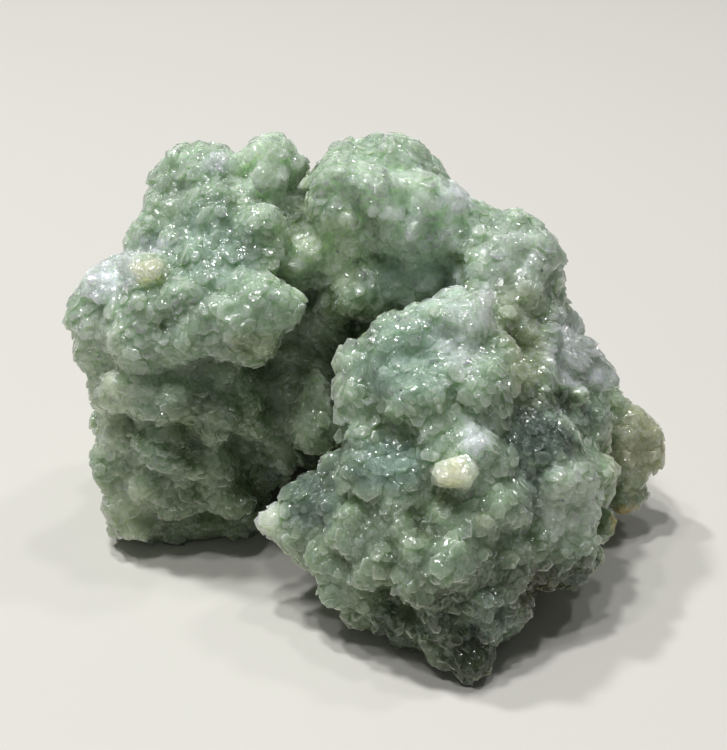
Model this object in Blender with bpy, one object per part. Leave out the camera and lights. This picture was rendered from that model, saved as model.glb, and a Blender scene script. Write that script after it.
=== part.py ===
"""Prehnite cluster: one hand specimen of pale green prehnite, grown together as a single solid.

Metres, +Z up. The specimen rests on the flattened tips of its lowest lumps at Z = 0, the show
face looks along -Y, and the origin is the centre of its footprint. Rounded masses carry lumps,
and each lump ends in a flat-faced crystal.
"""

import math

import bmesh
import bpy
import numpy as np
from mathutils import Matrix, Vector, noise

MM = 0.001

# The show face was measured square to a line of sight that looks down on it
SIGHT_DISTANCE = 261.0
SIGHT_PITCH = math.radians(30.0)
SIGHT_CENTRE_HEIGHT = 38.0

# Forming the solid
LUMP_SEGMENTS = 3
LUMP_SHARE = 0.95
BACK_SINK = 4.5
BACK_SWELL = 1.3
VOXEL = 1.2
ROUNDING = 0.001
SURFACE_WAVE = 0.4
SURFACE_WAVELENGTH = 7.0
BACK_WAVE = 1.7
BACK_WAVE_MIDDLE = 0.2
BACK_WAVELENGTH = 11.0
BACK_STARTS = 12.0
BACK_BLEND = 10.0
BODY_TRIANGLES = 3600
TABLE_HEIGHT = 0.3
TABLE_WIDTH = 300
TABLE_DEPTH = 60

# Flat-faced crystals, one to a lump, sized as shares of the lump
CORE = (0, 14, 30)
SHOW_FACING = 0.9
CRYSTAL_WIDTH = (1.25, 1.65)
CRYSTAL_BREADTH = (0.7, 1.0)
CRYSTAL_TAPER = 0.7
CRYSTAL_REACH = 0.88
CRYSTAL_STAND = (-0.2, 0.6)
CRYSTAL_LEAN = 0.8
CRYSTAL_TURN = 0.4
LEAN_WAVELENGTH = 11.0
SEED = 7

# Masses in the specimen's own axes: x, y, z of the centre, then the three half sizes
MASSES = [
    (-31, 16, 25, 18, 16, 28),
    (-27, 22, 53, 13, 12, 18),
    (-33, 9, 46, 14, 9, 13),
    (-40, 13, 32, 10.5, 12, 22),
    (-34, 12, 8, 14, 10.5, 12),
    (-10, 25, 34, 22, 11, 30),
    (4, 26, 56, 15, 9, 18),
    (16, 22, 32, 20, 14, 28),
    (17, -10, 22, 18, 21, 24),
    (14, -4, 38, 14, 13, 14),
    (31, 4, 24, 12, 19, 24),
    (31, -12, 22, 10, 16, 17),
    (3, -20, 20, 11, 13, 12),
    (17, -28, 13, 11, 12, 12),
    (27, 13, 50, 9, 12, 15),
    (43, 14, 16, 10, 12, 15),
]

# Lumps of the show face: across, up, how far the front stands out, half width, half height, roll
LEFT_PEAK = [
    (-17.5, 40.3, 4, 5.8, 5.6, 0),
    (-31.5, 36.8, 1, 8.0, 6.6, 0),
    (-27.5, 40.5, 3, 3.4, 3.0, 0),
    (-36.0, 35.0, -1, 4.0, 6.0, -25),
    (-19.0, 28.0, 10, 5.2, 5.0, 0),
    (-28.0, 29.0, 6, 8.5, 8.0, 0),
    (-36.0, 28.5, 2, 6.0, 6.0, 0),
    (-41.0, 25.5, 0, 4.4, 4.8, -30),
    (-46.2, 21.8, 2, 2.3, 1.8, 0),
    (-41.0, 20.2, 9, 4.5, 3.8, 0),
    (-29.0, 22.0, 9, 7.0, 5.0, 0),
    (-21.5, 20.5, 9, 5.0, 5.0, 0),
]
LEFT_SHELF = [
    (-48.6, 15.6, 6, 5.0, 5.4, 0),
    (-50.0, 8.6, 5, 4.6, 4.4, 0),
    (-40.5, 12.6, 11, 6.0, 4.6, 0),
    (-32.0, 14.6, 13, 5.5, 5.0, 0),
    (-18.5, 12.8, 16, 7.6, 6.4, -8),
    (-13.0, 12.6, 13, 3.2, 4.2, 0),
    (-26.0, 10.5, 13, 5.0, 4.5, 0),
    (-42.0, 5.4, 10, 6.6, 4.6, 0),
    (-32.5, 6.2, 10, 4.4, 4.6, 0),
    (-26.5, 6.2, 12, 4.2, 4.2, 0),
    (-20.0, 5.0, 9, 5.8, 3.8, 12),
    (-51.2, 3.6, 3, 3.4, 4.4, 0),
]
LEFT_FOOT = [
    (-49.0, -3.0, 0, 3.4, 4.2, 25),
    (-46.6, -6.6, 2, 2.0, 1.8, 0),
    (-42.0, -2.0, 5, 6.0, 5.5, 0),
    (-35.0, -4.6, 7, 5.4, 4.6, 0),
    (-25.5, -3.0, 3, 6.5, 6.0, 0),
    (-27.2, -10.0, 2, 4.0, 3.6, 0),
    (-19.4, -9.6, -2, 3.4, 3.6, 0),
    (-13.6, -5.8, -6, 4.2, 3.6, 0),
    (-15.0, -15.0, -6, 4.0, 4.8, 0),
    (-38.0, -12.0, 0, 7.0, 6.0, 0),
    (-45.5, -13.5, -4, 3.4, 7.5, 0),
    (-28.0, -16.8, -2, 5.4, 3.6, 0),
    (-39.0, -20.0, -5, 5.0, 5.0, 0),
    (-24.0, -23.6, -5, 6.2, 3.6, 0),
    (-34.0, -23.6, -6, 5.2, 3.8, 0),
    (-45.8, -24.0, -7, 4.2, 5.0, 0),
    (-45.8, -28.6, -13, 3.4, 3.0, 0),
    (-39.5, -28.2, -14, 4.6, 3.4, 0),
    (-31.0, -28.0, -14, 5.4, 3.4, 0),
    (-23.6, -27.2, -14, 3.6, 2.2, 0),
]
ARCH = [
    (-4.0, 40.8, 2, 4.6, 3.6, 0),
    (6.2, 40.6, 1, 5.6, 4.6, 0),
    (-4.0, 35.0, 9, 6.8, 5.8, 0),
    (3.2, 34.2, 10, 4.4, 4.6, 0),
    (-6.0, 29.2, 9, 4.4, 3.5, 0),
    (11.0, 33.4, 7, 5.6, 5.4, 0),
    (16.8, 34.4, 3, 2.9, 2.9, 0),
    (17.0, 29.8, 6, 4.2, 3.2, 0),
    (21.4, 29.8, 3, 3.4, 3.6, 35),
    (4.6, 26.8, 7, 6.0, 4.8, 0),
    (11.2, 24.4, 5, 4.4, 4.2, 0),
    (-8.0, 22.0, 3, 7.0, 5.6, 0),
    (-3.0, 19.4, 1, 3.6, 3.2, 0),
    (-12.8, 28.6, 1, 2.9, 6.6, 0),
    (16.6, 25.0, 5, 4.2, 3.6, 0),
]
HOLLOW = [
    (-12.0, 12.0, -7, 4.5, 5.5, 0),
    (-5.0, 10.5, -10, 6.0, 5.5, 0),
    (7.0, 15.6, -4, 7.2, 4.4, 0),
    (14.4, 17.0, -2, 4.2, 3.6, 0),
    (-8.5, 2.5, -9, 6.0, 6.0, 0),
    (-8.8, -5.0, 1, 2.9, 8.5, 0),
    (-13.0, -1.5, -9, 5.0, 5.0, 0),
]
SHOULDER = [
    (29.0, 24.0, 6, 6.4, 4.8, -8),
    (33.2, 22.8, 5, 4.3, 4.9, 0),
    (24.0, 21.0, 8, 4.8, 5.4, 0),
    (27.6, 13.6, 9, 5.8, 7.0, 0),
    (21.0, 16.0, 9, 3.2, 6.0, 0),
    (32.6, 11.0, 5, 3.0, 7.2, 0),
    (36.0, 12.6, -3, 2.2, 4.6, 25),
    (39.0, 8.6, -4, 3.4, 3.6, 35),
    (31.0, 0.0, 11, 4.0, 6.4, 0),
]
BROW = [
    (9.0, 1.6, 22, 12.0, 9.4, 0),
    (-1.0, -2.8, 22, 5.2, 6.2, 0),
    (3.6, 4.4, 22, 6.2, 5.4, 30),
    (10.6, -3.6, 27, 6.4, 5.2, 0),
    (10.4, 8.6, 20, 6.2, 4.6, 0),
    (18.0, 9.6, 20, 6.0, 7.0, 0),
    (20.6, -1.4, 25, 6.8, 6.0, 0),
    (26.0, 3.0, 19, 2.9, 6.6, 0),
    (25.4, -4.0, 21, 3.0, 2.9, 0),
    (15.6, -11.0, 26, 6.8, 4.8, 0),
    (10.0, -12.2, 28, 2.1, 2.2, 0),
    (17.4, -18.6, 30, 3.8, 3.1, 0),
    (22.4, -14.6, 28, 4.2, 5.0, 0),
    (25.6, -23.6, 25, 5.4, 6.4, 0),
    (22.4, -25.0, 28, 1.9, 1.7, 0),
]
TONGUE = [
    (4.0, -18.2, 25, 7.8, 5.4, 0),
    (0.0, -11.5, 20, 5.5, 4.0, 0),
    (-6.6, -16.0, 14, 3.6, 3.2, 0),
    (-12.4, -22.0, 10, 3.6, 3.6, 0),
    (-7.0, -25.0, 15, 6.5, 6.5, 0),
    (-12.4, -29.0, 12, 4.4, 5.4, 0),
    (-18.1, -27.6, 10, 3.1, 3.8, 0),
    (0.0, -28.0, 23, 6.6, 5.8, 0),
    (8.4, -27.0, 24, 5.0, 4.2, 0),
    (16.0, -27.6, 26, 5.8, 4.8, 0),
    (-5.6, -40.0, 16, 4.6, 4.2, 30),
    (-6.0, -34.0, 15, 5.5, 4.5, 0),
    (1.6, -36.0, 20, 5.5, 4.0, 0),
    (14.8, -35.4, 29, 7.6, 4.2, -18),
    (9.4, -39.2, 26, 5.2, 4.0, 0),
    (22.2, -32.8, 27, 2.9, 2.6, 0),
    (0.6, -42.6, 14, 5.2, 4.0, -25),
    (8.6, -45.6, 15, 6.6, 5.0, -20),
    (17.6, -45.0, 20, 7.4, 6.4, 0),
    (26.4, -43.0, 17, 5.0, 7.0, -20),
    (25.0, -35.0, 22, 5.0, 6.0, 0),
    (19.6, -53.0, 22, 6.2, 4.6, 0),
    (14.6, -51.0, 20, 4.2, 3.4, 0),
]
RIGHT_FLANK = [
    (32.8, -34.0, 16, 4.2, 5.6, -15),
    (38.6, -31.6, 12, 4.4, 4.4, 0),
    (37.6, -36.6, 11, 4.6, 4.2, 0),
    (41.8, -33.6, 8, 3.6, 4.4, 0),
    (40.2, -26.6, 14, 4.2, 4.0, 0),
    (41.2, -19.0, 11, 5.0, 6.2, 0),
    (32.2, -18.4, 12, 3.2, 3.4, 0),
    (31.6, -27.0, 15, 4.0, 5.0, 0),
    (34.0, -12.0, 7, 4.6, 4.0, 0),
    (42.0, -9.4, 5, 4.8, 5.4, 0),
    (38.0, -3.8, 8, 4.2, 4.0, 0),
    (40.4, 1.6, 4, 5.6, 4.6, -20),
    (45.6, -1.0, 2, 2.9, 3.0, 0),
    (44.0, -5.0, 2, 2.6, 2.4, 0),
    (44.6, -27.6, 2, 3.0, 4.6, 0),
]
SIDE_LOBE = [
    (50.0, -9.6, -11, 4.6, 5.0, 0),
    (52.2, -14.4, -12, 4.4, 5.6, 0),
    (49.0, -20.4, -11, 4.0, 4.6, 0),
    (48.6, -25.4, -14, 2.3, 2.5, 0),
]
SHOW_FACE = [
    LEFT_PEAK,
    LEFT_SHELF,
    LEFT_FOOT,
    ARCH,
    HOLLOW,
    SHOULDER,
    BROW,
    TONGUE,
    RIGHT_FLANK,
    SIDE_LOBE,
]

# Lumps of the back and underside: x, y, z of the centre and the radius
BACK_LUMPS = [
    (-46, 20, 30, 7),
    (-47, 22, 14, 7),
    (-41, 28, 42, 7),
    (-36, 30, 22, 8),
    (-34, 30, 5, 7),
    (-30, 29, 55, 7),
    (-24, 32, 38, 8),
    (-19, 28, 62, 6),
    (-20, 33, 16, 8),
    (-12, 34, 52, 7),
    (-8, 35, 28, 8),
    (-6, 34, 5, 7),
    (2, 30, 62, 7),
    (4, 35, 42, 8),
    (8, 36, 18, 8),
    (14, 29, 55, 7),
    (17, 34, 32, 8),
    (20, 32, 5, 8),
    (28, 25, 46, 7),
    (31, 28, 24, 8),
    (35, 20, 36, 7),
    (37, 26, 6, 7),
    (50, 16, 12, 6),
    (47, 22, 20, 6),
    (-50, 8, 20, 6),
    (-30, 6, 4, 6),
    (34, -8, 8, 7),
    (24, -22, 6, 7),
    (6, -24, 10, 8),
    (44, 4, 8, 6),
]

PREHNITE_GREEN = (0.47, 0.60, 0.46, 1.0)
PREHNITE_ROUGHNESS = 0.28
PREHNITE_IOR = 1.63


def clear_scene():
    for old in list(bpy.data.objects):
        bpy.data.objects.remove(old)


def sight_axes():
    """Across, up and out of the measuring plane, as the columns of a matrix."""
    across = Vector((1, 0, 0))
    up = Vector((0, math.sin(SIGHT_PITCH), math.cos(SIGHT_PITCH)))
    out = Vector((0, -math.cos(SIGHT_PITCH), math.sin(SIGHT_PITCH)))
    return Matrix((across, up, out)).transposed()


def lump_matrix(across, up, front, half_width, half_height, roll):
    """Where a unit sphere goes to become one lump of the show face."""
    half_width, half_height = half_width * LUMP_SHARE, half_height * LUMP_SHARE
    half_depth = 0.5 * (half_width + half_height)
    depth = front - half_depth
    nearness = (SIGHT_DISTANCE - depth) / SIGHT_DISTANCE
    axes = sight_axes()
    centre = Vector((0, 0, SIGHT_CENTRE_HEIGHT)) + axes @ Vector(
        (across * nearness, up * nearness, depth)
    )
    size = Matrix.Diagonal((half_width * nearness, half_height * nearness, half_depth))
    turn = Matrix.Rotation(math.radians(roll), 3, "Z")
    return Matrix.Translation(centre) @ (axes @ turn @ size).to_4x4()


def add_sphere(shape, matrix):
    bmesh.ops.create_icosphere(
        shape,
        subdivisions=LUMP_SEGMENTS,
        radius=1.0,
        matrix=Matrix.Scale(MM, 4) @ matrix,
    )


def object_of(name, shape):
    mesh = bpy.data.meshes.new(name)
    shape.to_mesh(mesh)
    shape.free()
    made = bpy.data.objects.new(name, mesh)
    bpy.context.scene.collection.objects.link(made)
    return made


def apply_modifiers(thing):
    """The object's mesh becomes what its modifiers make of it."""
    graph = bpy.context.evaluated_depsgraph_get()
    finished = bpy.data.meshes.new_from_object(thing.evaluated_get(graph))
    thing.modifiers.clear()
    thing.data = finished


def back_lump_matrix(x, y, z, radius):
    """The broken back is flatter: its lumps are wide, and sunk towards the core."""
    centre = Vector((x, y, z))
    inward = (Vector(CORE) - centre).normalized()
    inward.z = 0.0
    swollen = radius * BACK_SWELL
    return Matrix.Translation(centre + inward * BACK_SINK) @ Matrix.Diagonal(
        (swollen, swollen, swollen, 1)
    )


def in_fixed_order(mesh):
    """The same mesh with its points and faces sorted, because a voxel remesh numbers them freely."""
    points = np.array([vertex.co for vertex in mesh.vertices], dtype=np.float64)
    points = np.round(points / (ROUNDING * MM)) * ROUNDING * MM
    order = np.lexsort(points.T)
    rank = np.empty(len(order), int)
    rank[order] = np.arange(len(order))
    faces = []
    for face in mesh.polygons:
        corners = [int(rank[index]) for index in face.vertices]
        first = corners.index(min(corners))
        faces.append(corners[first:] + corners[:first])
    sorted_mesh = bpy.data.meshes.new("sorted")
    sorted_mesh.from_pydata([tuple(point) for point in points[order]], [], sorted(faces))
    return sorted_mesh


def joined_body(show_lumps):
    """All masses and lumps, grown into one smooth-skinned body by a voxel remesh."""
    shape = bmesh.new()
    for x, y, z, *half_sizes in MASSES:
        add_sphere(shape, Matrix.Translation((x, y, z)) @ Matrix.Diagonal((*half_sizes, 1)))
    for lump in show_lumps:
        add_sphere(shape, lump)
    for lump in BACK_LUMPS:
        add_sphere(shape, back_lump_matrix(*lump))
    body = object_of("prehnite_cluster", shape)
    remesh = body.modifiers.new("grow_together", "REMESH")
    remesh.mode = "VOXEL"
    remesh.voxel_size = VOXEL * MM
    apply_modifiers(body)
    body.data = in_fixed_order(body.data)
    return body


def roughen(body):
    """Slow waves along the surface normal, and coarse broken ones on the back."""
    mesh = body.data
    normals = [vertex.normal.copy() for vertex in mesh.vertices]
    for vertex, normal in zip(mesh.vertices, normals):
        place = vertex.co / MM
        wave = noise.noise(place / SURFACE_WAVELENGTH) * SURFACE_WAVE
        behind = min(max((place.y - BACK_STARTS) / BACK_BLEND, 0.0), 1.0)
        broken = abs(noise.noise(place / BACK_WAVELENGTH)) - BACK_WAVE_MIDDLE
        vertex.co = vertex.co + normal * (wave + broken * behind * BACK_WAVE) * MM


def thin_out(body, triangles):
    """Collapse edges until the body is near this many triangles."""
    decimate = body.modifiers.new("thin_out", "DECIMATE")
    decimate.ratio = triangles / (2 * len(body.data.vertices))
    apply_modifiers(body)


def crystal_frame(lump, rng):
    """A frame at the lump's centre whose Z axis faces out of the specimen, and its reach that way."""
    centre = lump.to_translation()
    outward = (centre - Vector(CORE)).normalized()
    facing = (outward + lump.to_3x3().col[2].normalized() * SHOW_FACING).normalized()
    lean = noise.noise_vector(centre / LEAN_WAVELENGTH)
    facing = (facing + lean * CRYSTAL_LEAN).normalized()
    reach = (lump.to_3x3().transposed() @ facing).length * CRYSTAL_REACH
    side = facing.cross(Vector((0, 0, 1)) + noise.noise_vector(centre / LEAN_WAVELENGTH))
    turn = Matrix.Rotation(rng.uniform(-CRYSTAL_TURN, CRYSTAL_TURN), 3, facing)
    side = (turn @ side).normalized()
    frame = Matrix((side, facing.cross(side), facing)).transposed().to_4x4()
    return Matrix.Translation(centre) @ frame, reach


def add_crystal(shape, frame, width, breadth, reach):
    """A four-sided block that narrows to a flat top face and is rooted in its lump."""
    rings = []
    for height, share in ((0.0, 1.0), (reach, CRYSTAL_TAPER)):
        half_x, half_y = 0.5 * width * share, 0.5 * breadth * share
        corners = ((-half_x, -half_y), (half_x, -half_y), (half_x, half_y), (-half_x, half_y))
        rings.append([shape.verts.new(frame @ Vector((x, y, height)) * MM) for x, y in corners])
    lower, upper = rings
    shape.faces.new(lower[::-1])
    shape.faces.new(upper)
    for i in range(4):
        j = (i + 1) % 4
        shape.faces.new((lower[i], lower[j], upper[j], upper[i]))


def crystal_layers(lumps, rng):
    """One crystal for each lump, sorted into layers whose members stand clear of each other."""
    layers = []
    for lump in lumps:
        frame, reach = crystal_frame(lump, rng)
        size = sum(axis.length for axis in lump.to_3x3().col) / 3
        span = size + reach
        place = frame.to_translation()
        for layer in layers:
            if all((place - other).length > span + other_span for other, other_span, *_ in layer):
                break
        else:
            layer = []
            layers.append(layer)
        layer.append((place, span, frame, size, reach))
    made = []
    for number, layer in enumerate(layers):
        shape = bmesh.new()
        for _, _, frame, size, reach in layer:
            width = size * rng.uniform(*CRYSTAL_WIDTH)
            breadth = width * rng.uniform(*CRYSTAL_BREADTH)
            add_crystal(shape, frame, width, breadth, reach + rng.uniform(*CRYSTAL_STAND))
        crystals = object_of(f"crystals_{number}", shape)
        crystals.hide_render = True
        crystals.display_type = "WIRE"
        made.append(crystals)
    return made


def fuse(body, tools, operation):
    """A Boolean for each tool. Hundreds of small overlapping crystals stall the exact solver."""
    for tool in tools:
        step = body.modifiers.new(tool.name, "BOOLEAN")
        step.operation = operation
        step.solver = "MANIFOLD"
        step.object = tool
    apply_modifiers(body)
    for tool in tools:
        bpy.data.objects.remove(tool)


def table_block(top):
    """A slab whose upper face is the table, to flatten the tips that the specimen rests on."""
    shape = bmesh.new()
    size = Matrix.Diagonal((TABLE_WIDTH, TABLE_WIDTH, TABLE_DEPTH, 1))
    place = Matrix.Translation((0, 0, top - TABLE_DEPTH / 2))
    bmesh.ops.create_cube(shape, size=1.0, matrix=Matrix.Scale(MM, 4) @ place @ size)
    return object_of("table_block", shape)


def keep_largest_piece(body):
    """Drops any chip that the cut freed from the specimen."""
    shape = bmesh.new()
    shape.from_mesh(body.data)
    shape.verts.ensure_lookup_table()
    unseen = set(shape.verts)
    pieces = []
    while unseen:
        front = [unseen.pop()]
        piece = list(front)
        while front:
            vertex = front.pop()
            for edge in vertex.link_edges:
                other = edge.other_vert(vertex)
                if other in unseen:
                    unseen.remove(other)
                    front.append(other)
                    piece.append(other)
        pieces.append(piece)
    pieces.sort(key=len)
    for piece in pieces[:-1]:
        bmesh.ops.delete(shape, geom=piece, context="VERTS")
    shape.to_mesh(body.data)
    shape.free()


def stand_on_origin(body):
    """Moves the mesh so that the origin is the centre of its footprint."""
    points = np.array([vertex.co for vertex in body.data.vertices])
    low, high = points.min(axis=0), points.max(axis=0)
    shift = Vector((-(low[0] + high[0]) / 2, -(low[1] + high[1]) / 2, -low[2]))
    body.data.transform(Matrix.Translation(shift))
    print("moved by", [round(value / MM, 2) for value in shift], "mm")


def prehnite_material():
    material = bpy.data.materials.new("prehnite")
    material.use_nodes = True
    shader = material.node_tree.nodes["Principled BSDF"]
    shader.inputs["Base Color"].default_value = PREHNITE_GREEN
    shader.inputs["Roughness"].default_value = PREHNITE_ROUGHNESS
    shader.inputs["IOR"].default_value = PREHNITE_IOR
    return material


def main():
    clear_scene()
    rng = np.random.default_rng(SEED)
    noise.seed_set(SEED)
    show_lumps = [lump_matrix(*lump) for group in SHOW_FACE for lump in group]
    body = joined_body(show_lumps)
    roughen(body)
    thin_out(body, BODY_TRIANGLES)
    fuse(body, crystal_layers(show_lumps, rng), "UNION")
    fuse(body, [table_block(TABLE_HEIGHT)], "DIFFERENCE")
    keep_largest_piece(body)
    body.data.materials.clear()
    body.data.materials.append(prehnite_material())
    stand_on_origin(body)


main()
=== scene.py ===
import math

import bmesh
import bpy
import numpy as np
from mathutils import Matrix, Vector
from mathutils.bvhtree import BVHTree
from mathutils.kdtree import KDTree


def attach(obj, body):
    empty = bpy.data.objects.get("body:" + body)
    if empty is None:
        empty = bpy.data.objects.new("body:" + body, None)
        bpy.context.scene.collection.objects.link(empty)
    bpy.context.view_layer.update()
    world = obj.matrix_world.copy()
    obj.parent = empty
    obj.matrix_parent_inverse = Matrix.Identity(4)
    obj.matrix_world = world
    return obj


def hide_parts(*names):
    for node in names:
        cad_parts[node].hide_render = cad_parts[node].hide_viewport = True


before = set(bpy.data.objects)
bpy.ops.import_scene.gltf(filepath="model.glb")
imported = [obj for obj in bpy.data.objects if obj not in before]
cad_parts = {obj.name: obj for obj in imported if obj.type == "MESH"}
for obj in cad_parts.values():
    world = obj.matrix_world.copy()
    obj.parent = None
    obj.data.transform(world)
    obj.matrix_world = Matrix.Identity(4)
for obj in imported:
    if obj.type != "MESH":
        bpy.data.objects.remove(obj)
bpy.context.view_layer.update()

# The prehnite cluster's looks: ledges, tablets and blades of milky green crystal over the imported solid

print("frame loaded")

mm = 0.001

# The line of sight, in millimetres: the show face is described square to it
sight = {
    "distance": 261.0,
    "pitch": math.radians(30.0),
    "aim": (-2.63, 0.89, 37.7),
    "lens": 67.2,
    "longSide": 36.0,
}
sightOut = np.array([0.0, -math.cos(sight["pitch"]), math.sin(sight["pitch"])])
sightUp = np.array([0.0, math.sin(sight["pitch"]), math.cos(sight["pitch"])])


def seenAt(points):
    # Across and up on the plane square to the line of sight, where the eye sees each point
    offset = points / mm - np.array(sight["aim"])
    share = sight["distance"] / (sight["distance"] - offset @ sightOut)
    return offset[:, 0] * share, offset @ sightUp * share


def waves(points, wavelength, seed, count=24):
    # A smooth random field from -1 to 1: the mean of sines that run in random directions
    rng = np.random.default_rng(seed)
    directions = rng.normal(size=(count, 3))
    directions /= np.linalg.norm(directions, axis=1, keepdims=True)
    lengths = wavelength * rng.uniform(0.6, 1.6, count)
    phases = rng.uniform(0, 2 * math.pi, count)
    angles = points @ (directions / lengths[:, None]).T * 2 * math.pi / mm + phases
    return np.clip(np.sin(angles).sum(axis=1) * math.sqrt(2 / count) * 0.7, -1, 1)


def vectorWaves(points, wavelength, seed):
    return np.stack([waves(points, wavelength, seed + axis) for axis in range(3)], axis=1)


def unit(vectors):
    return vectors / np.maximum(np.linalg.norm(vectors, axis=-1, keepdims=True), 1e-9)


def ease(low, high, values):
    # 0 below low, 1 above high, and a smooth step between
    share = np.clip((values - low) / (high - low), 0, 1)
    return share * share * (3 - 2 * share)


def linkObject(name, mesh):
    made = bpy.data.objects.new(name, mesh)
    bpy.context.scene.collection.objects.link(made)
    return made


def applyModifiers(thing):
    graph = bpy.context.evaluated_depsgraph_get()
    finished = bpy.data.meshes.new_from_object(thing.evaluated_get(graph))
    thing.modifiers.clear()
    thing.data = finished


def meshArrays(mesh):
    points = np.empty(len(mesh.vertices) * 3)
    mesh.vertices.foreach_get("co", points)
    normals = np.empty(len(mesh.vertices) * 3)
    mesh.vertex_normals.foreach_get("vector", normals)
    return points.reshape(-1, 3), normals.reshape(-1, 3)


def triangleArrays(mesh):
    mesh.calc_loop_triangles()
    corners = np.empty(len(mesh.loop_triangles) * 3, int)
    mesh.loop_triangles.foreach_get("vertices", corners)
    return corners.reshape(-1, 3)


def surfaceTree(mesh):
    points, _ = meshArrays(mesh)
    return BVHTree.FromPolygons(points.tolist(), triangleArrays(mesh).tolist())


def pointsTree(points):
    tree = KDTree(len(points))
    for index, point in enumerate(points):
        tree.insert(point, index)
    tree.balance()
    return tree


def castSight(tree, across, up):
    # Where the line of sight through a place on the measuring plane meets a surface, and its normal
    aim = np.array(sight["aim"])
    eye = aim + sightOut * sight["distance"]
    goal = aim + np.array([across, 0.0, 0.0]) + sightUp * up
    hit, normal, _, _ = tree.ray_cast(Vector(eye * mm), Vector(goal - eye))
    return hit and (np.array(hit), np.array(normal))


# The rounded ground that the crystals grow on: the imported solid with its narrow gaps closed, softened.
# Lengths are in millimetres here and in every look below, unless a note says otherwise
groundLook = {
    "weld": 0.001,
    "voxel": 1.0,
    "closing": 0.8,
    "softening": 3,
    "finalSoftening": 3,
    "sink": 0.35,
    "waveHeight": 0.35,
    "waveLength": 9.0,
    "rounding": 0.001,
}

# Swellings that fill pits between the lumps: across, up and radius, set back by a share of the radius
swellingSetback = 0.25
swellings = [
    (-14.0, 21.5, 6.0),
    (-18.5, 33.5, 5.0),
    (5.0, -8.0, 5.5),
    (8.0, -10.0, 4.5),
    (-10.0, -14.0, 4.5),
    (12.5, -17.0, 4.4),
    (20.5, -22.0, 4.4),
    (-23.0, -17.0, 4.0),
    (-41.5, -26.5, 4.5),
    (5.5, -33.0, 4.8),
    (31.0, -33.5, 4.0),
    (-33.0, -0.5, 3.8),
    (-14.0, 0.0, 5.0),
    (25.0, 12.0, 3.5),
    (6.0, 38.0, 4.5),
    (-3.0, 24.5, 6.0),
    (9.0, 18.0, 7.0),
    (-2.0, 17.0, 6.5),
    (-7.0, 10.0, 6.0),
    (-12.0, 6.0, 5.0),
    (27.5, 9.5, 4.0),
    (15.5, 20.5, 5.0),
    (-9.0, -10.0, 5.0),
]


def sortedMesh(mesh):
    # The same surface with its points and faces in a fixed order
    points, _ = meshArrays(mesh)
    points = np.round(points / (groundLook["rounding"] * mm)) * groundLook["rounding"] * mm
    order = np.lexsort(points.T)
    rank = np.empty(len(order), int)
    rank[order] = np.arange(len(order))
    faces = []
    for face in mesh.polygons:
        corners = [int(rank[index]) for index in face.vertices]
        first = corners.index(min(corners))
        faces.append(corners[first:] + corners[:first])
    fixed = bpy.data.meshes.new("fixed")
    fixed.from_pydata(points[order].tolist(), [], sorted(faces))
    return fixed


def remesh(thing):
    step = thing.modifiers.new("remesh", "REMESH")
    step.mode = "VOXEL"
    step.voxel_size = groundLook["voxel"] * mm
    applyModifiers(thing)
    thing.data = sortedMesh(thing.data)


def soften(thing, rounds):
    step = thing.modifiers.new("soften", "SMOOTH")
    step.factor = 0.5
    step.iterations = rounds
    applyModifiers(thing)


def lift(thing, heights):
    # Moves each point along its normal by a height in millimetres
    points, normals = meshArrays(thing.data)
    points = points + normals * (heights * np.ones(len(points)))[:, None] * mm
    thing.data.vertices.foreach_set("co", points.ravel())
    thing.data.update()


def makeGround():
    shape = bmesh.new()
    shape.from_mesh(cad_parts["prehnite_cluster"].data)
    bmesh.ops.remove_doubles(shape, verts=shape.verts, dist=groundLook["weld"] * mm)
    mesh = bpy.data.meshes.new("ground")
    shape.to_mesh(mesh)
    tree = surfaceTree(mesh)
    for across, up, radius in swellings:
        found = castSight(tree, across, up)
        if found:
            place = Matrix.Translation(found[0] - sightOut * radius * swellingSetback * mm)
            bmesh.ops.create_icosphere(shape, subdivisions=3, radius=radius * mm, matrix=place)
    shape.to_mesh(mesh)
    shape.free()
    ground = linkObject("ground", mesh)
    remesh(ground)
    lift(ground, groundLook["closing"])
    remesh(ground)
    lift(ground, -groundLook["closing"])
    remesh(ground)
    soften(ground, groundLook["softening"])
    points, _ = meshArrays(ground.data)
    swell = waves(points, groundLook["waveLength"], 3) * groundLook["waveHeight"]
    lift(ground, swell - groundLook["sink"])
    return ground


# How much sky each spot sees, for the painted shade in hollows and grooves and the painted glow in
# creases: far rays tell hollows from open crests, and near ones find creases
farSky = {"rays": 22, "reach": 26, "start": 0.4}
grooveSky = {"rays": 16, "reach": 7, "start": 0.2}
nearSky = {"rays": 9, "reach": 3.5, "start": 0.1}


def openness(mesh, look):
    # The share of rays, spread evenly over the half sphere around the normal, that meet nothing
    points, normals = meshArrays(mesh)
    tree = surfaceTree(mesh)
    steps = np.arange(look["rays"]) + 0.5
    height = 1 - steps / look["rays"]
    spin = steps * math.pi * (3 - math.sqrt(5))
    flat = np.sqrt(1 - height * height)
    rays = np.stack([np.cos(spin) * flat, np.sin(spin) * flat, height], axis=1)
    side = unit(np.cross(normals, np.array([0.31, 0.17, 0.93])))
    other = np.cross(normals, side)
    seen = np.zeros(len(points))
    starts = points + normals * look["start"] * mm
    for x, y, z in rays:
        directions = side * x + other * y + normals * z
        for index, (start, direction) in enumerate(zip(starts, directions)):
            if tree.ray_cast(start, direction, look["reach"] * mm)[0] is None:
                seen[index] += 1
    return seen / look["rays"]


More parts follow.
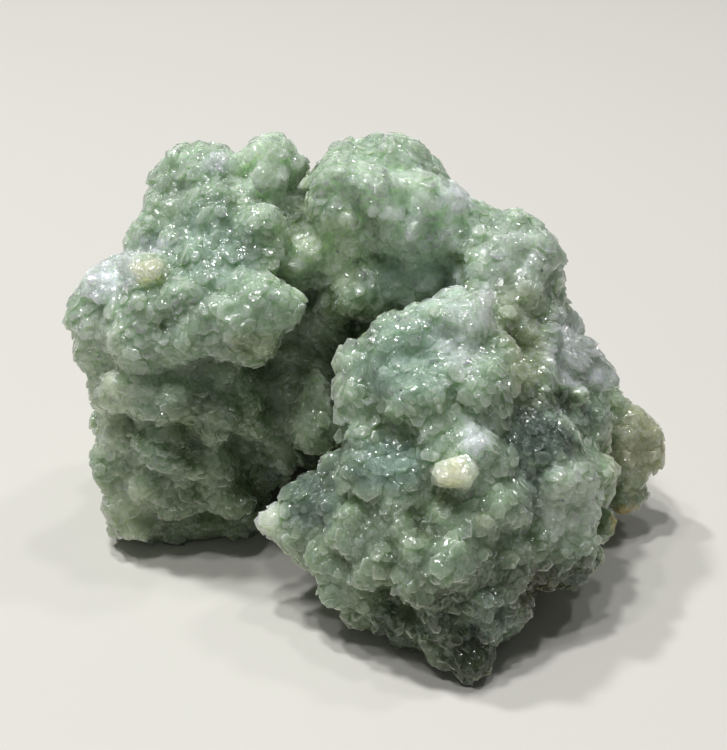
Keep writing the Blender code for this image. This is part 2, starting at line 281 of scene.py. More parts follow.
# Where crystals root: random spots, kept apart by a distance that varies over the specimen
def scatter(mesh, candidates, spacing, wanted, rng):
    points, normals = meshArrays(mesh)
    corners = triangleArrays(mesh)
    a, b, c = (points[corners[:, k]] for k in range(3))
    areas = np.linalg.norm(np.cross(b - a, c - a), axis=1)
    chosen = rng.choice(len(corners), candidates, p=areas / areas.sum())
    first, second = rng.random(candidates), rng.random(candidates)
    fold = first + second > 1
    first[fold], second[fold] = 1 - first[fold], 1 - second[fold]
    weights = np.stack([1 - first - second, first, second], axis=1)
    spots = (points[corners[chosen]] * weights[:, :, None]).sum(axis=1)
    facing = unit((normals[corners[chosen]] * weights[:, :, None]).sum(axis=1))
    keep = rng.random(candidates) < wanted(spots, facing)
    spots, facing = spots[keep], facing[keep]
    gaps = spacing(spots, facing) * mm
    tree = pointsTree(spots)
    taken = np.zeros(len(spots), bool)
    kept = []
    for index, spot in enumerate(spots):
        if taken[index]:
            continue
        kept.append(index)
        for _, near, _ in tree.find_range(spot, gaps[index]):
            taken[near] = True
    return spots[kept], facing[kept], gaps[kept]


def showShare(normals):
    # 1 on the show face, falling to 0 on the back and underside
    return ease(-0.85, -0.3, normals @ unit(sightOut + np.array([0, 0, 0.2])))


# One crystal: radius = size x superellipse of the angle x scallops, and height falls ring by ring
# from a domed crown over the rim to a buried root
def crystalPoints(spots, facing, side, size, thick, squareness, scallop, look, rng):
    sides = look["sides"]
    count = len(spots)
    angle = np.arange(sides) * 2 * math.pi / sides
    turn = rng.uniform(0, 2 * math.pi, (count, 1))
    power = squareness[:, None]
    flatness = (np.abs(np.cos(angle)) ** power + np.abs(np.sin(angle)) ** power) ** (-1 / power)
    lobes = rng.integers(*look["scallopCount"], (count, 1))
    outline = flatness * (1 + scallop[:, None] * np.cos(lobes * angle + turn))
    outline = outline * (1 + rng.uniform(-1, 1, (count, sides)) * look["ragged"])
    breadth = rng.uniform(*look["breadth"], (count, 1))
    ringRadius = np.array(look["ringRadius"])
    ringHeight = np.array(look["ringHeight"])
    along = size[:, None, None] * outline[:, None, :] * ringRadius[None, :, None]
    x = along * np.cos(angle)
    y = along * np.sin(angle) * breadth[:, :, None]
    lean = rng.uniform(-1, 1, (count, 1, 1)) * look["topTilt"]
    z = thick[:, None, None] * ringHeight[None, :, None] + lean * x
    rings = np.stack([x, y, z], axis=3).reshape(count, -1, 3)
    poles = np.zeros((count, 2, 3))
    poles[:, 0, 2] = thick * look["crown"]
    poles[:, 1, 2] = thick * look["root"]
    local = np.concatenate([rings, poles], axis=1)
    other = np.cross(facing, side)
    axes = np.stack([side, other, facing], axis=1)
    return spots[:, None, :] + local @ axes


def crystalFaces(look):
    sides = look["sides"]
    rings = len(look["ringRadius"])
    crown, root = rings * sides, rings * sides + 1
    faces = []
    for j in range(sides):
        k = (j + 1) % sides
        faces.append((crown, j, k))
        for i in range(rings - 1):
            faces.append((i * sides + k, i * sides + j, (i + 1) * sides + j, (i + 1) * sides + k))
        last = (rings - 1) * sides
        faces.append((last + k, last + j, root))
    return faces


def separateLayers(spots, reach):
    # Layers whose crystals stand clear of each other, so that each layer is a valid solid
    tree = pointsTree(spots)
    widest = reach.max()
    layer = np.full(len(spots), -1)
    for index, spot in enumerate(spots):
        used = set()
        for _, near, distance in tree.find_range(spot, reach[index] + widest):
            if layer[near] >= 0 and distance < reach[index] + reach[near]:
                used.add(layer[near])
        layer[index] = next(number for number in range(len(used) + 1) if number not in used)
    return layer


def layerMeshes(points, layer, look):
    pattern = crystalFaces(look)
    made = []
    for number in range(layer.max() + 1):
        members = points[layer == number]
        stride = members.shape[1]
        faces = []
        for index in range(len(members)):
            faces.extend(tuple(corner + index * stride for corner in face) for face in pattern)
        mesh = bpy.data.meshes.new(f"layer{number}")
        mesh.from_pydata(members.reshape(-1, 3).tolist(), [], faces)
        made.append(linkObject(f"layer{number}", mesh))
    return made


def fuse(body, tools, operation):
    for tool in tools:
        step = body.modifiers.new(tool.name, "BOOLEAN")
        step.operation = operation
        step.solver = "MANIFOLD"
        step.object = tool
    applyModifiers(body)
    for tool in tools:
        bpy.data.objects.remove(tool)


# Tablets overlap like shingles: each leans up a little, so that its lower rim stands out.
# Sizes follow the gap to the next one, and heights are shares of the size
tabletLook = {
    "candidates": 80000,
    "showGap": 1.36,
    "backGap": 2.9,
    "gapWaves": 0.3,
    "sizeOfGap": (0.75, 1.35),
    "breadth": (0.5, 1.0),
    "thickOfSize": (0.08, 0.22),
    "upwardLean": 0.28,
    "wildness": 0.14,
    "leanWavelength": 6.0,
    "scatterLean": 0.1,
    "blockShare": 0.4,
    "squareness": (2.5, 4.5),
    "scallop": (0.0, 0.06),
    "scallopCount": (2, 4),
    "ragged": 0.13,
    "topTilt": 0.12,
    "evenReach": 2.4,
    "evenest": 0.0,
    "sides": 6,
    "ringRadius": (0.82, 1.0, 0.9),
    "ringHeight": (1.0, 0.35, -1.3),
    "crown": 1.1,
    "root": -2.4,
    "seed": 11,
}

# Ledges: wide scalloped plates under the tablets, whose lower rims make steps
ledgeLook = {
    "candidates": 12000,
    "showGap": 3.5,
    "backGap": 5.0,
    "gapWaves": 0.3,
    "sizeOfGap": (0.5, 0.85),
    "breadth": (0.6, 1.0),
    "thickOfSize": (0.5, 0.75),
    "upwardLean": 0.16,
    "wildness": 0.14,
    "leanWavelength": 12.0,
    "scatterLean": 0.12,
    "blockShare": 0.3,
    "squareness": (2.5, 4.0),
    "scallop": (0.04, 0.12),
    "scallopCount": (3, 7),
    "ragged": 0.05,
    "topTilt": 0.1,
    "sides": 14,
    "ringRadius": (0.7, 1.0, 0.92, 0.5),
    "ringHeight": (0.95, 0.3, -0.5, -1.6),
    "crown": 1.15,
    "root": -2.0,
    "evenReach": 3.6,
    "evenest": 0.84,
    "seed": 15,
}

# Blades: long thin crystals that fan out from a point along the surface. Angles are degrees from across
bladeLook = dict(
    tabletLook, breadth=(0.2, 0.32), scallop=(0.0, 0.0), ragged=0.04, topTilt=0.02, seed=14,
    away=(0.25, 0.6), halfOfLength=0.42, thick=(0.5, 1.1),
)
fans = [
    {"from": (-39.0, 17.5), "angles": (115, 205), "length": (6.0, 9.0), "count": 20},
    {"from": (37.0, 4.5), "angles": (-60, 80), "length": (5.0, 8.5), "count": 26},
    {"from": (22.5, 8.0), "angles": (70, 115), "length": (5.0, 9.0), "count": 10},
    {"from": (20.0, -16.0), "angles": (40, 130), "length": (3.5, 5.5), "count": 9},
]

# Single blocks that catch the eye: across, up, half width and height above the ground
blockLook = dict(
    tabletLook, sides=9, breadth=(0.6, 0.8), squareness=(3.5, 5.0), blockShare=1.0, topTilt=0.25, seed=16
)
blocks = [
    (17.2, -18.0, 3.9, 1.6),
    (22.8, -27.0, 1.6, 1.3),
    (-27.0, 40.0, 1.9, 1.0),
    (-40.0, 19.5, 2.8, 1.0),
    (21.0, -13.0, 1.7, 1.2),
    (12.5, -15.0, 1.8, 1.0),
    (-36.0, 3.0, 2.4, 0.9),
    (33.0, -15.5, 1.8, 1.2),
    (-17.5, -27.0, 2.3, 1.0),
]

# Broad smooth lobes, with few tablets on them: across, up and radius as the eye sees them
broadLobes = [
    (-17.5, 41.0, 5.4),
    (-31.0, 37.0, 6.6),
    (-20.0, 28.5, 4.8),
    (-18.5, 12.5, 6.6),
    (-40.5, 19.8, 3.0),
    (8.5, 6.5, 5.6),
    (3.5, 1.0, 6.0),
    (12.0, -3.5, 4.8),
    (14.5, -34.5, 6.6),
    (-6.0, -40.2, 3.8),
    (17.5, -18.5, 2.8),
    (5.0, 26.0, 5.2),
    (29.0, 24.0, 4.4),
    (-15.0, -15.0, 4.0),
    (25.0, -25.5, 4.4),
    (-42.0, 5.4, 4.6),
    (6.0, 41.0, 4.4),
    (40.5, -23.0, 4.0),
]
lobeLook = {"bare": 0.7, "innerEdge": 0.55}
surfaceLook = {"triangles": 196000, "sharpAngle": 33}


def lobeShare(points):
    # 1 on a broad lobe, as the eye sees it, and 0 away from all of them
    across, up = seenAt(points)
    share = np.zeros(len(points))
    for x, y, radius in broadLobes:
        distance = np.hypot(across - x, up - y) / radius
        share = np.maximum(share, 1 - ease(lobeLook["innerEdge"], 1.0, distance))
    return share


def tabletsWanted(spots, facing):
    return 1 - lobeLook["bare"] * lobeShare(spots) * showShare(facing)


def leanOf(spots, facing, look, rng):
    upward = np.array([0.0, -0.15, 1.0])
    steep = 1 - np.abs(facing[:, 2:3])
    lean = facing + upward * look["upwardLean"] * (0.25 + steep)
    lean = lean + vectorWaves(spots, look["leanWavelength"], 31) * look["wildness"]
    return unit(lean + rng.normal(size=facing.shape) * look["scatterLean"])


def shapeCrystals(spots, lean, side, size, thick, look, rng):
    count = len(spots)
    blocky = rng.random(count) < look["blockShare"]
    squareness = np.where(blocky, rng.uniform(*look["squareness"], count), 2.0)
    scallop = np.where(blocky, 0.0, rng.uniform(*look["scallop"], count))
    return crystalPoints(spots, lean, side, size, thick, squareness, scallop, look, rng)


def evenness(mesh, spots, reach):
    # 1 where the ground is flat around a spot, down to 0.4 on ridges and in creases
    points, normals = meshArrays(mesh)
    tree = pointsTree(points)
    even = np.empty(len(spots))
    for index, spot in enumerate(spots):
        around = [near for _, near, _ in tree.find_range(spot, reach * mm)]
        even[index] = np.linalg.norm(normals[around].mean(axis=0)) if around else 1.0
    return 0.4 + 0.6 * ease(0.75, 0.97, even)


def growCrystals(mesh, look, wanted):
    rng = np.random.default_rng(look["seed"])

    def spacing(spots, facing):
        base = look["backGap"] + (look["showGap"] - look["backGap"]) * showShare(facing)
        uneven = look["gapWaves"] * waves(spots, 12.0, 21) + rng.uniform(-0.25, 0.4, len(spots))
        return base * (1 + uneven)

    spots, facing, gaps = scatter(mesh, look["candidates"], spacing, wanted, rng)
    even = evenness(mesh, spots, look["evenReach"])
    flat = even > look["evenest"]
    spots, facing, gaps, even = spots[flat], facing[flat], gaps[flat], even[flat]
    size = gaps * rng.uniform(*look["sizeOfGap"], len(spots)) * even
    thick = size * rng.uniform(*look["thickOfSize"], len(spots))
    lean = leanOf(spots, facing, look, rng)
    drift = vectorWaves(spots, 14.0, 41) + rng.normal(size=facing.shape) * 0.25
    side = unit(np.cross(lean, drift))
    print("crystals", len(spots))
    return spots, shapeCrystals(spots, lean, side, size, thick, look, rng)


def growBlades(mesh):
    rng = np.random.default_rng(bladeLook["seed"])
    tree = surfaceTree(mesh)
    spots, facing, side, size = [], [], [], []
    for fan in fans:
        for number in range(fan["count"]):
            low, high = (math.radians(angle) for angle in fan["angles"])
            angle = low + (high - low) * (number + rng.uniform(0, 1)) / fan["count"]
            length = rng.uniform(*fan["length"])
            away = rng.uniform(*bladeLook["away"]) * length
            across = fan["from"][0] + away * math.cos(angle)
            up = fan["from"][1] + away * math.sin(angle)
            found = castSight(tree, across, up)
            if not found:
                continue
            along = np.array([math.cos(angle), 0, 0]) + sightUp * math.sin(angle)
            spots.append(found[0])
            facing.append(unit(found[1] + rng.normal(size=3) * 0.1))
            side.append(unit(along - facing[-1] * (along @ facing[-1])))
            size.append(length * bladeLook["halfOfLength"] * mm)
    spots, facing, side, size = (np.array(values) for values in (spots, facing, side, size))
    thick = rng.uniform(*bladeLook["thick"], len(spots)) * mm
    print("blades", len(spots))
    return spots, shapeCrystals(spots, facing, side, size, thick, bladeLook, rng)


def growBlocks(mesh):
    rng = np.random.default_rng(blockLook["seed"])
    tree = surfaceTree(mesh)
    met = [(castSight(tree, across, up), size, high) for across, up, size, high in blocks]
    met = [(hit, size, high) for hit, size, high in met if hit]
    spots = np.array([hit[0] for hit, _, _ in met])
    facing = unit(np.array([hit[1] + 0.5 * sightOut for hit, _, _ in met]))  # part of the way to the eye
    size = np.array([size for _, size, _ in met]) * mm
    thick = np.array([high for _, _, high in met]) * mm
    print("blocks", len(spots))
    side = unit(np.cross(facing, sightUp + rng.normal(size=facing.shape) * 0.2))
    return spots, shapeCrystals(spots, facing, side, size, thick, blockLook, rng)


def layersOf(spots, points, look):
    reach = np.linalg.norm(points - spots[:, None, :], axis=2).max(axis=1)
    return layerMeshes(points, separateLayers(spots, reach), look)


# A flat block below the floor's level, which cuts off what grew under it
floorCutLook = {"width": 300, "thick": 30}


def makeFloorCut():
    shape = bmesh.new()
    bmesh.ops.create_cube(shape, size=floorCutLook["width"] * mm)
    flatten = floorCutLook["thick"] / floorCutLook["width"]
    for vertex in shape.verts:
        vertex.co.z = vertex.co.z * flatten - floorCutLook["thick"] / 2 * mm
    mesh = bpy.data.meshes.new("floorCut")
    shape.to_mesh(mesh)
    shape.free()
    return linkObject("floorCut", mesh)


# Shader maths in plain arithmetic
class Value:
    def __init__(self, nodes, socket):
        self.nodes = nodes
        self.socket = socket

    def math(self, operation, first, second):
        inputs = {0: first, 1: second}
        return self.nodes.add("ShaderNodeMath", {"operation": operation}, inputs)

    def __add__(self, other):
        return self.math("ADD", self, other)

    def __sub__(self, other):
        return self.math("SUBTRACT", self, other)

    def __rsub__(self, other):
        return self.math("SUBTRACT", other, self)

    def __mul__(self, other):
        return self.math("MULTIPLY", self, other)

    def between(self, low, high):
        inputs = {"Value": self, "From Min": low, "From Max": high}
        return self.nodes.add("ShaderNodeMapRange", {"interpolation_type": "SMOOTHSTEP"}, inputs)

    __radd__ = __add__
    __rmul__ = __mul__


class Nodes:
    def __init__(self, name):
        self.material = bpy.data.materials.new(name)
        self.material.use_nodes = True
        self.tree = self.material.node_tree
        self.shader = self.tree.nodes["Principled BSDF"]
        self.object = self.add("ShaderNodeTexCoord", output="Object")

    def add(self, kind, settings=None, inputs=None, output=0):
        node = self.tree.nodes.new(kind)
        for key, value in (settings or {}).items():
            setattr(node, key, value)
        for key, value in (inputs or {}).items():
            self.feed(node.inputs[key], value)
        return Value(self, node.outputs[output])

    def feed(self, target, value):
        if isinstance(value, Value):
            self.tree.links.new(value.socket, target)
        else:
            target.default_value = value

    def noise(self, size, detail):
        inputs = {"Vector": self.object, "Scale": 1 / (size * mm), "Detail": detail}
        return self.add("ShaderNodeTexNoise", None, inputs)

    def mix(self, share, first, second):
        return self.add("ShaderNodeMix", {"data_type": "RGBA"}, {0: share, 6: first, 7: second}, 2)

    def vector(self, operation, first, second, output=0):
        return self.add("ShaderNodeVectorMath", {"operation": operation}, {0: first, 1: second}, output)

    def facets(self, size):
        # Tiny planes, one to a cell, each tilted its own way: height = random slope . offset, in mm
        inputs = {"Vector": self.object, "Scale": 1 / (size * mm)}
        cell = self.add("ShaderNodeTexVoronoi", None, inputs, "Position")
        random = {"noise_dimensions": "3D"}
        slope = self.add("ShaderNodeTexWhiteNoise", random, {"Vector": cell}, "Color")
        offset = self.vector("SUBTRACT", self.object, cell)
        tilt = self.vector("SUBTRACT", slope, (0.5, 0.5, 0.5))
        return self.vector("DOT_PRODUCT", offset, tilt, "Value") * (2 / mm)


# Colours are linear. They paint light and shade: hollows and grooves are dark olive as painted shade,
# the foot is darker, partly its own tone and partly painted shade, open faces are milky green, and thin
# outer rims are nearly white as a painted glow of light through them
mineralLook = {
    "deep": (0.21, 0.30, 0.155),
    "middle": (0.245, 0.345, 0.205),
    "pale": (0.36, 0.475, 0.355),
    "rim": (0.60, 0.67, 0.56),
    "groove": (0.11, 0.155, 0.065),
    "base": (0.15, 0.20, 0.10),
    "back": (0.30, 0.33, 0.22),
    "rust": (0.34, 0.25, 0.13),
}

# How strongly each of them shows, and how far behind the show face a patch still shows, in mm
paintLook = {
    "baseHeights": (-4, 52),
    "skySeen": (0.2, 0.95),
    "pale": 0.75,
    "rimsFound": (0.08, 0.45),
    "rim": 0.7,
    "base": 0.75,
    "groovesFound": (0.35, 0.8),
    "groove": 0.38,
    "back": 0.6,
    "rust": 0.7,
    "patchEdge": (0.6, 1.3),
    "patchReach": (7, 12),
    "creaseGlow": 0.4,
}

# Patches of another tint on the show face: across, up, half width, half height, colour, strength.
# Beside the stone's own tints, many paint light and shade: pale ones are painted light in the hollow
# under the arch, under the shelf and on shaded corners, dark ones are painted shade in gaps, clefts,
# hollows and on the underside along the lower edge, where it is partly a dark crust, and slate darkens
# clefts and hollows, partly their own blue-green and partly painted shade
frostAndGlint = (0.62, 0.67, 0.67)
cream = (0.64, 0.65, 0.47)
slate = (0.14, 0.195, 0.155)
milk = (0.31, 0.405, 0.295)
honey = (0.33, 0.355, 0.20)
amber = (0.36, 0.25, 0.10)
silverSheen = (0.44, 0.48, 0.46)
paintedShade = (0.045, 0.06, 0.03)
patches = [
    (-17.5, 39, 7.0, 7.5, (0.57, 0.70, 0.54), 0.9),
    (-31, 34, 6.0, 6.0, (0.27, 0.37, 0.27), 0.5),
    (30, 15, 5.0, 4.0, (0.46, 0.55, 0.45), 0.6),
    (-37, 35, 5.0, 5.0, (0.40, 0.49, 0.38), 0.6),
    (-28, 23, 9.0, 8.0, (0.29, 0.40, 0.34), 0.5),
    (-20, 12, 9.0, 7.0, (0.40, 0.52, 0.39), 0.6),
    # Painted light under the shelf
    (-13, 7, 6.5, 4.5, (0.55, 0.68, 0.52), 0.85),
    (-31, 0, 10.0, 5.0, (0.42, 0.53, 0.39), 0.7),
    (8, 3, 9.0, 8.0, (0.26, 0.37, 0.30), 0.7),
    (-49, 18, 4.5, 4.5, frostAndGlint, 0.95),
    (-44, 20, 3.5, 4.5, frostAndGlint, 0.7),
    (17, 33, 4.0, 4.0, frostAndGlint, 0.85),
    # Painted glint: a pale patch where cleavage faces reflect the lamps
    (18, 8, 4.5, 8.0, frostAndGlint, 0.5),
    (23, 14, 1.6, 5.5, frostAndGlint, 0.9),
    (21, -12.5, 3.2, 3.6, frostAndGlint, 0.85),
    (-39, 24.5, 3.5, 2.0, frostAndGlint, 0.8),
    # Painted glint: a pale square where a cleavage face reflects the lamps
    (-27, 40, 2.4, 2.0, frostAndGlint, 0.8),
    # Painted sheen: pale grey for the striated lump's silvery sheen
    (41, 3, 7.5, 5.0, silverSheen, 0.95),
    (38, 9, 3.0, 4.0, silverSheen, 0.8),
    (45, -1, 3.0, 2.0, frostAndGlint, 0.6),
    (17.0, -18.5, 3.6, 3.0, (0.74, 0.75, 0.54), 1.0),
    (22.6, -27, 1.8, 1.8, cream, 0.9),
    (-40, 19.5, 3.0, 2.8, cream, 0.85),
    (4, 35, 12.0, 7.0, (0.53, 0.65, 0.51), 0.85),
    # Painted light: pale tints in the hollow under the arch, as if lit through the crystal
    (9, 18, 10.0, 5.5, (0.56, 0.69, 0.60), 0.9),
    (-6, 24, 11.0, 7.0, (0.57, 0.70, 0.49), 0.9),
    (11, 27, 10.0, 6.0, (0.60, 0.72, 0.60), 0.9),
    (-10, 12, 3.5, 8.0, (0.46, 0.58, 0.43), 0.8),
    (-4, -15, 4.0, 6.0, slate, 0.7),
    (-14, -18, 4.0, 4.5, slate, 0.7),
    (-25, -13, 6.0, 4.0, (0.36, 0.45, 0.32), 0.6),
    (-16, 35, 5.0, 4.0, (0.50, 0.61, 0.47), 0.7),
    (-48, -6, 5.0, 10.0, (0.50, 0.57, 0.43), 0.85),
    (-45, -26, 7.0, 7.0, (0.48, 0.55, 0.40), 0.8),
    (-50, 6, 5.0, 6.0, (0.50, 0.58, 0.46), 0.8),
    (5, -17, 6.5, 6.0, (0.20, 0.29, 0.25), 0.75),
    (-10, -23, 6.0, 7.0, (0.12, 0.17, 0.135), 0.9),
    (33, -12, 6.5, 6.0, (0.07, 0.10, 0.085), 0.9),
    (33, -22, 4.0, 5.0, slate, 0.75),
    (43, -8, 4.5, 3.0, slate, 0.6),
    # Painted shade in the gap beside the silver lump
    (36, -5, 5.0, 2.2, paintedShade, 0.8),
    (25, -38, 6.0, 4.0, paintedShade, 0.6),
    (12, -29.5, 4.0, 2.2, paintedShade, 0.5),
    (25, -46, 6.0, 5.0, slate, 0.6),
    (14.5, -35, 8.0, 4.0, (0.25, 0.33, 0.235), 0.9),
    (25, -27, 4.5, 5.0, milk, 0.7),
    (39, -24, 6.0, 7.0, (0.50, 0.57, 0.48), 0.9),
    (-6, -40, 4.5, 4.0, milk, 0.8),
    # Painted light on the shaded lower corner of the left mass
    (-18.5, -27, 3.5, 5.0, (0.60, 0.68, 0.55), 0.95),
    (29, 22, 7.0, 7.0, (0.50, 0.58, 0.50), 0.85),
    (29, 12, 6.0, 6.0, honey, 0.35),
    (30, 2, 4.0, 6.0, honey, 0.5),
    (52, -13, 6.0, 9.0, (0.43, 0.445, 0.30), 0.95),
    (57.5, -15, 1.6, 8.0, amber, 0.85),
    (49, -27, 2.6, 2.6, (0.5, 0.37, 0.12), 0.95),
    (-20, 5.5, 6.5, 2.5, honey, 0.5),
    # Painted shade under the shelf
    (-30, -8, 8.0, 5.0, (0.10, 0.13, 0.06), 0.5),
    # Painted shade on the underside along the lower edge, partly a dark crust
    (41, -38, 7.0, 4.0, paintedShade, 0.9),
    (33, -43, 4.5, 7.0, (0.07, 0.06, 0.035), 0.9),
    (10, -47, 10.0, 5.0, paintedShade, 0.7),
    (17, -42, 4.0, 3.0, paintedShade, 0.6),
    (20, -53, 7.0, 5.5, paintedShade, 0.95),
    (-15, -15, 4.0, 4.5, milk, 0.3),
    (-12, -5, 7.5, 12.0, (0.40, 0.50, 0.35), 0.8),
    # Painted shade in the hollow
    (0, 8, 3.5, 3.5, paintedShade, 0.4),
]


def convexity(points, normals, edges):
    # How far each point stands out from its neighbours: above 0 on rims, below 0 in creases
    first, second = edges[:, 0], edges[:, 1]
    step = points[second] - points[first]
    length = np.maximum(np.linalg.norm(step, axis=1), 1e-6)
    total = np.zeros(len(points))
    weight = np.zeros(len(points))
    for start, sign in ((first, -1), (second, 1)):
        np.add.at(total, start, sign * (step * normals[start]).sum(axis=1))
        np.add.at(weight, start, length)
    return total / np.maximum(weight, 1e-9)


def towards(colour, tint, share):
    # The colours moved towards a tint by a share of the way at each point
    return colour + (np.array(tint) - colour) * share[:, None]


def paintMineralAndLight(mesh, crease, rooted, look):
    points, normals = meshArrays(mesh)
    nearest = np.array([rooted["tree"].find(point)[1] for point in points])
    facing = rooted["normals"][nearest]
    seen = rooted["sky"][nearest]
    edges = np.empty(len(mesh.edges) * 2, int)
    mesh.edges.foreach_get("vertices", edges)
    rim = convexity(points, normals, edges.reshape(-1, 2)) + 0.05 * waves(points, 5.0, 61)
    height = ease(*look["baseHeights"], points[:, 2] / mm + 5 * waves(points, 20.0, 52))
    light = ease(*look["skySeen"], seen + 0.07 * waves(points, 6.0, 51))
    grooveShade = 1 - ease(*look["groovesFound"], rooted["groove"][nearest] + 0.06 * waves(points, 4.0, 53))
    hidden = 1 - showShare(facing)
    stain = ease(0.1, 0.9, waves(points, 16.0, 71)) * ease(0.55, 1.0, hidden)
    # Painted shade: spots that see little sky, in hollows, get the dark deep colour, and open faces get
    # the middle and pale colours, as light falls on them
    colour = towards(np.array(mineralLook["deep"]), mineralLook["middle"], light)
    colour = towards(colour, mineralLook["pale"], look["pale"] * ease(0.45, 1.0, light))
    # Painted glow: convex rims move towards the near-white rim colour, standing in for light shining
    # through thin edges
    rimGlow = ease(*look["rimsFound"], rim) * (0.3 + 0.7 * light)
    colour = towards(colour, mineralLook["rim"], look["rim"] * rimGlow)
    # Darker and more olive towards the bottom: partly the stone's own tone, partly painted shade where
    # less light reaches low down
    colour = towards(colour, mineralLook["base"], look["base"] * (1 - height))
    # Painted shade: grooves and creases move towards the dark groove colour
    colour = towards(colour, mineralLook["groove"], look["groove"] * grooveShade)
    colour = towards(colour, mineralLook["back"], look["back"] * hidden * light)
    colour = towards(colour, mineralLook["rust"], look["rust"] * stain)
    across, up = seenAt(points)
    depth = points @ sightOut / mm
    turned = ease(-0.45, -0.05, facing @ sightOut)
    ragged = 0.22 * waves(points, 3.2, 81) + 0.12 * waves(points, 1.3, 82)
    for x, y, wide, high, tint, strength in patches:
        distance = np.sqrt(((across - x) / wide) ** 2 + ((up - y) / high) ** 2)
        found = castSight(rooted["faces"], x, y)
        behind = found[0] @ sightOut / mm - depth if found else 0
        near = 1 - ease(*look["patchReach"], behind)
        share = (1 - ease(*look["patchEdge"], distance + ragged)) * strength * turned * near
        colour = towards(colour, tint, share)
    # Painted light: creases that still see sky are lightened, standing in for light leaking through the
    # translucent crystal
    colour = colour * (1.0 + look["creaseGlow"] * (1 - crease) * ease(0.25, 0.7, seen))[:, None]
    rgba = np.concatenate([colour, np.ones((len(points), 1))], axis=1)
    layer = mesh.attributes.new("mineralAndPaintedLight", "FLOAT_COLOR", "POINT")
    layer.data.foreach_set("color", rgba.ravel().astype(np.float32))


# The finish, sizes in mm: facets of two sizes catch the lamps, and stand out most where it glitters.
# Where it glitters the colour is also painted paler, a painted sheen
crystalLook = {
    "grain": 1.0,
    "grainShade": 0.2,
    "cloud": 4.5,
    "cloudShade": 0.14,
    "darkestShade": 0.87,
    "glitterCloud": 5.0,
    "glitterGrain": 0.9,
    "glitterSheenColour": (0.52, 0.63, 0.60, 1.0),
    "glitterSheenShare": 0.3,
    "glitterPolish": 0.05,
    "glitterRelief": 0.8,
    "roughness": 0.1,
    "roughnessSpread": 0.16,
    "roughGrain": 1.1,
    "facets": 1.3,
    "fineFacets": 0.6,
    "fineShare": 0.8,
    "relief": 0.3,
    "ripple": 1.6,
    "rippleHeight": 0.12,
    "refraction": 1.62,
    "glowDepth": 6.5,
    "glowRadius": (1.0, 1.1, 0.85),
}


def crystalMaterial(look):
    nodes = Nodes("milkyGreenCrystal")
    shader = nodes.shader.inputs
    # The painted colour: the stone's tints together with painted shade, glow, glints and sheen
    tint = nodes.add("ShaderNodeAttribute", {"attribute_name": "mineralAndPaintedLight"}, output="Color")
    grain = nodes.noise(look["grain"], 4.0).between(0.3, 0.7)
    cloud = nodes.noise(look["cloud"], 2.0).between(0.3, 0.7)
    shade = grain * look["grainShade"] + cloud * look["cloudShade"] + look["darkestShade"]
    grey = nodes.add("ShaderNodeCombineXYZ", None, {0: shade, 1: shade, 2: shade})
    mottled = nodes.vector("MULTIPLY", tint, grey)
    glitter = nodes.noise(look["glitterCloud"], 3.0).between(0.5, 0.62)
    glitter = glitter * nodes.noise(look["glitterGrain"], 2.0).between(0.45, 0.6)
    # Painted sheen: where it glitters the colour is mixed towards a pale grey-green
    colour = nodes.mix(glitter * look["glitterSheenShare"], mottled, look["glitterSheenColour"])
    nodes.feed(shader["Base Color"], colour)
    uneven = nodes.noise(look["roughGrain"], 3.0).between(0.35, 0.7) * look["roughnessSpread"]
    nodes.feed(shader["Roughness"], uneven - glitter * look["glitterPolish"] + look["roughness"])
    relief = glitter * look["glitterRelief"] + look["relief"]
    height = nodes.facets(look["facets"]) * relief
    height = height + nodes.facets(look["fineFacets"]) * relief * look["fineShare"]
    height = height + nodes.noise(look["ripple"], 2.0) * look["rippleHeight"]
    bump = nodes.add("ShaderNodeBump", None, {"Height": height, "Strength": 1.0, "Distance": mm})
    nodes.feed(shader["Normal"], bump)
    shader["IOR"].default_value = look["refraction"]
    shader["Subsurface Weight"].default_value = 1.0
    shader["Subsurface Radius"].default_value = look["glowRadius"]
    shader["Subsurface Scale"].default_value = look["glowDepth"] * mm
    return nodes.material


floorLook = {"halfWidth": 3.0, "colour": (0.64, 0.625, 0.575, 1.0), "roughness": 0.6}


def makeFloor():
    shape = bmesh.new()
    bmesh.ops.create_grid(shape, x_segments=1, y_segments=1, size=floorLook["halfWidth"])
    mesh = bpy.data.meshes.new("floor")
    shape.to_mesh(mesh)
    shape.free()
    floor = linkObject("floor", mesh)
    nodes = Nodes("paleFloor")
    nodes.shader.inputs["Base Color"].default_value = floorLook["colour"]
    nodes.shader.inputs["Roughness"].default_value = floorLook["roughness"]
    mesh.materials.append(nodes.material)


# Small soft lamps overhead and a broad weak one in front: place, size and power, in metres and watts
lamps = {
    "left": ((-0.62, 0.35, 1.28), 0.11, 8.0),
    "middleLeft": ((-0.26, 0.18, 1.45), 0.11, 8.0),
    "middleRight": ((0.26, 0.26, 1.45), 0.11, 2.3),
    "right": ((0.66, 0.35, 1.25), 0.11, 2.1),
    "near": ((-0.22, -0.18, 1.54), 0.11, 4.3),
    "nearLeft": ((-0.57, -0.09, 1.36), 0.11, 2.5),
    "front": ((-0.26, -1.36, 0.99), 0.88, 0.5),
}
fillLight = {"colour": (0.93, 0.96, 1.0, 1.0), "strength": 0.08}


def aimAt(thing, target):
    thing.rotation_euler = (Vector(target) - thing.location).to_track_quat("-Z", "Y").to_euler()


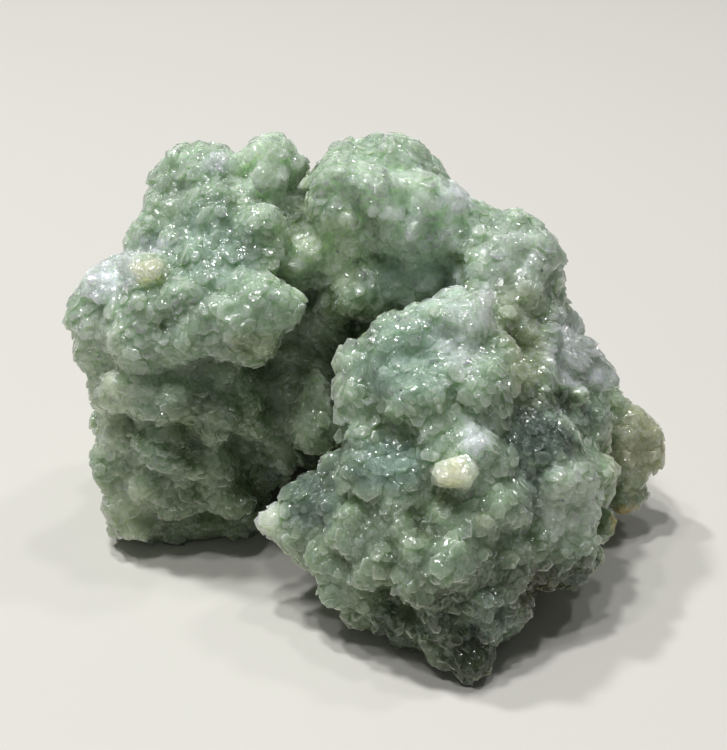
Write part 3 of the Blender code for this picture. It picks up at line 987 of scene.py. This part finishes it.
def makeStudio():
    centre = Vector(sight["aim"]) * mm
    for name, (spot, size, power) in lamps.items():
        lamp = bpy.data.lights.new(name, "AREA")
        lamp.shape = "DISK"
        lamp.size = size
        lamp.energy = power
        holder = bpy.data.objects.new(name, lamp)
        bpy.context.scene.collection.objects.link(holder)
        holder.location = spot
        aimAt(holder, centre)
    bpy.context.scene.view_settings.view_transform = "Standard"
    world = bpy.data.worlds.new("studio")
    bpy.context.scene.world = world
    world.use_nodes = True
    background = world.node_tree.nodes["Background"].inputs
    background["Color"].default_value = fillLight["colour"]
    background["Strength"].default_value = fillLight["strength"]
    camera = bpy.data.objects.new("camera", bpy.data.cameras.new("camera"))
    bpy.context.scene.collection.objects.link(camera)
    bpy.context.scene.camera = camera
    camera.location = centre + Vector(sightOut) * sight["distance"] * mm
    camera.data.lens = sight["lens"]
    camera.data.sensor_width = sight["longSide"]
    camera.data.clip_start = 0.01
    aimAt(camera, centre)


makeFloor()
makeStudio()
print("studio ready")

ground = makeGround()
fuse(ground, layersOf(*growCrystals(ground.data, ledgeLook, tabletsWanted), ledgeLook), "UNION")
remesh(ground)
soften(ground, groundLook["finalSoftening"])
groundMesh = ground.data
groundPoints, groundNormals = meshArrays(groundMesh)
rooted = {
    "tree": pointsTree(groundPoints),
    "normals": groundNormals,
    "faces": surfaceTree(groundMesh),
    "sky": openness(groundMesh, farSky),
    "groove": openness(groundMesh, grooveSky),
}
print("ground", len(groundPoints), "openness", rooted["sky"].mean(), rooted["groove"].mean())

prehnite = linkObject("prehnite", groundMesh.copy())
fuse(prehnite, layersOf(*growCrystals(prehnite.data, tabletLook, tabletsWanted), tabletLook), "UNION")
fuse(prehnite, layersOf(*growBlades(groundMesh), bladeLook), "UNION")
fuse(prehnite, layersOf(*growBlocks(groundMesh), blockLook), "UNION")
fuse(prehnite, [makeFloorCut()], "DIFFERENCE")
print("fused", len(prehnite.data.vertices), len(prehnite.data.polygons))

thin = prehnite.modifiers.new("thin", "DECIMATE")
prehnite.data.calc_loop_triangles()
thin.ratio = min(1.0, surfaceLook["triangles"] / len(prehnite.data.loop_triangles))
applyModifiers(prehnite)
print("thinned", len(prehnite.data.vertices), len(prehnite.data.polygons))

crease = openness(prehnite.data, nearSky)
print("creases", crease.mean())
paintMineralAndLight(prehnite.data, crease, rooted, paintLook)
prehnite.data.shade_smooth()
prehnite.data.set_sharp_from_angle(angle=math.radians(surfaceLook["sharpAngle"]))
prehnite.data.materials.clear()
prehnite.data.materials.append(crystalMaterial(crystalLook))
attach(prehnite, "root")
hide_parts("prehnite_cluster")
bpy.data.objects.remove(ground)
print("painted")
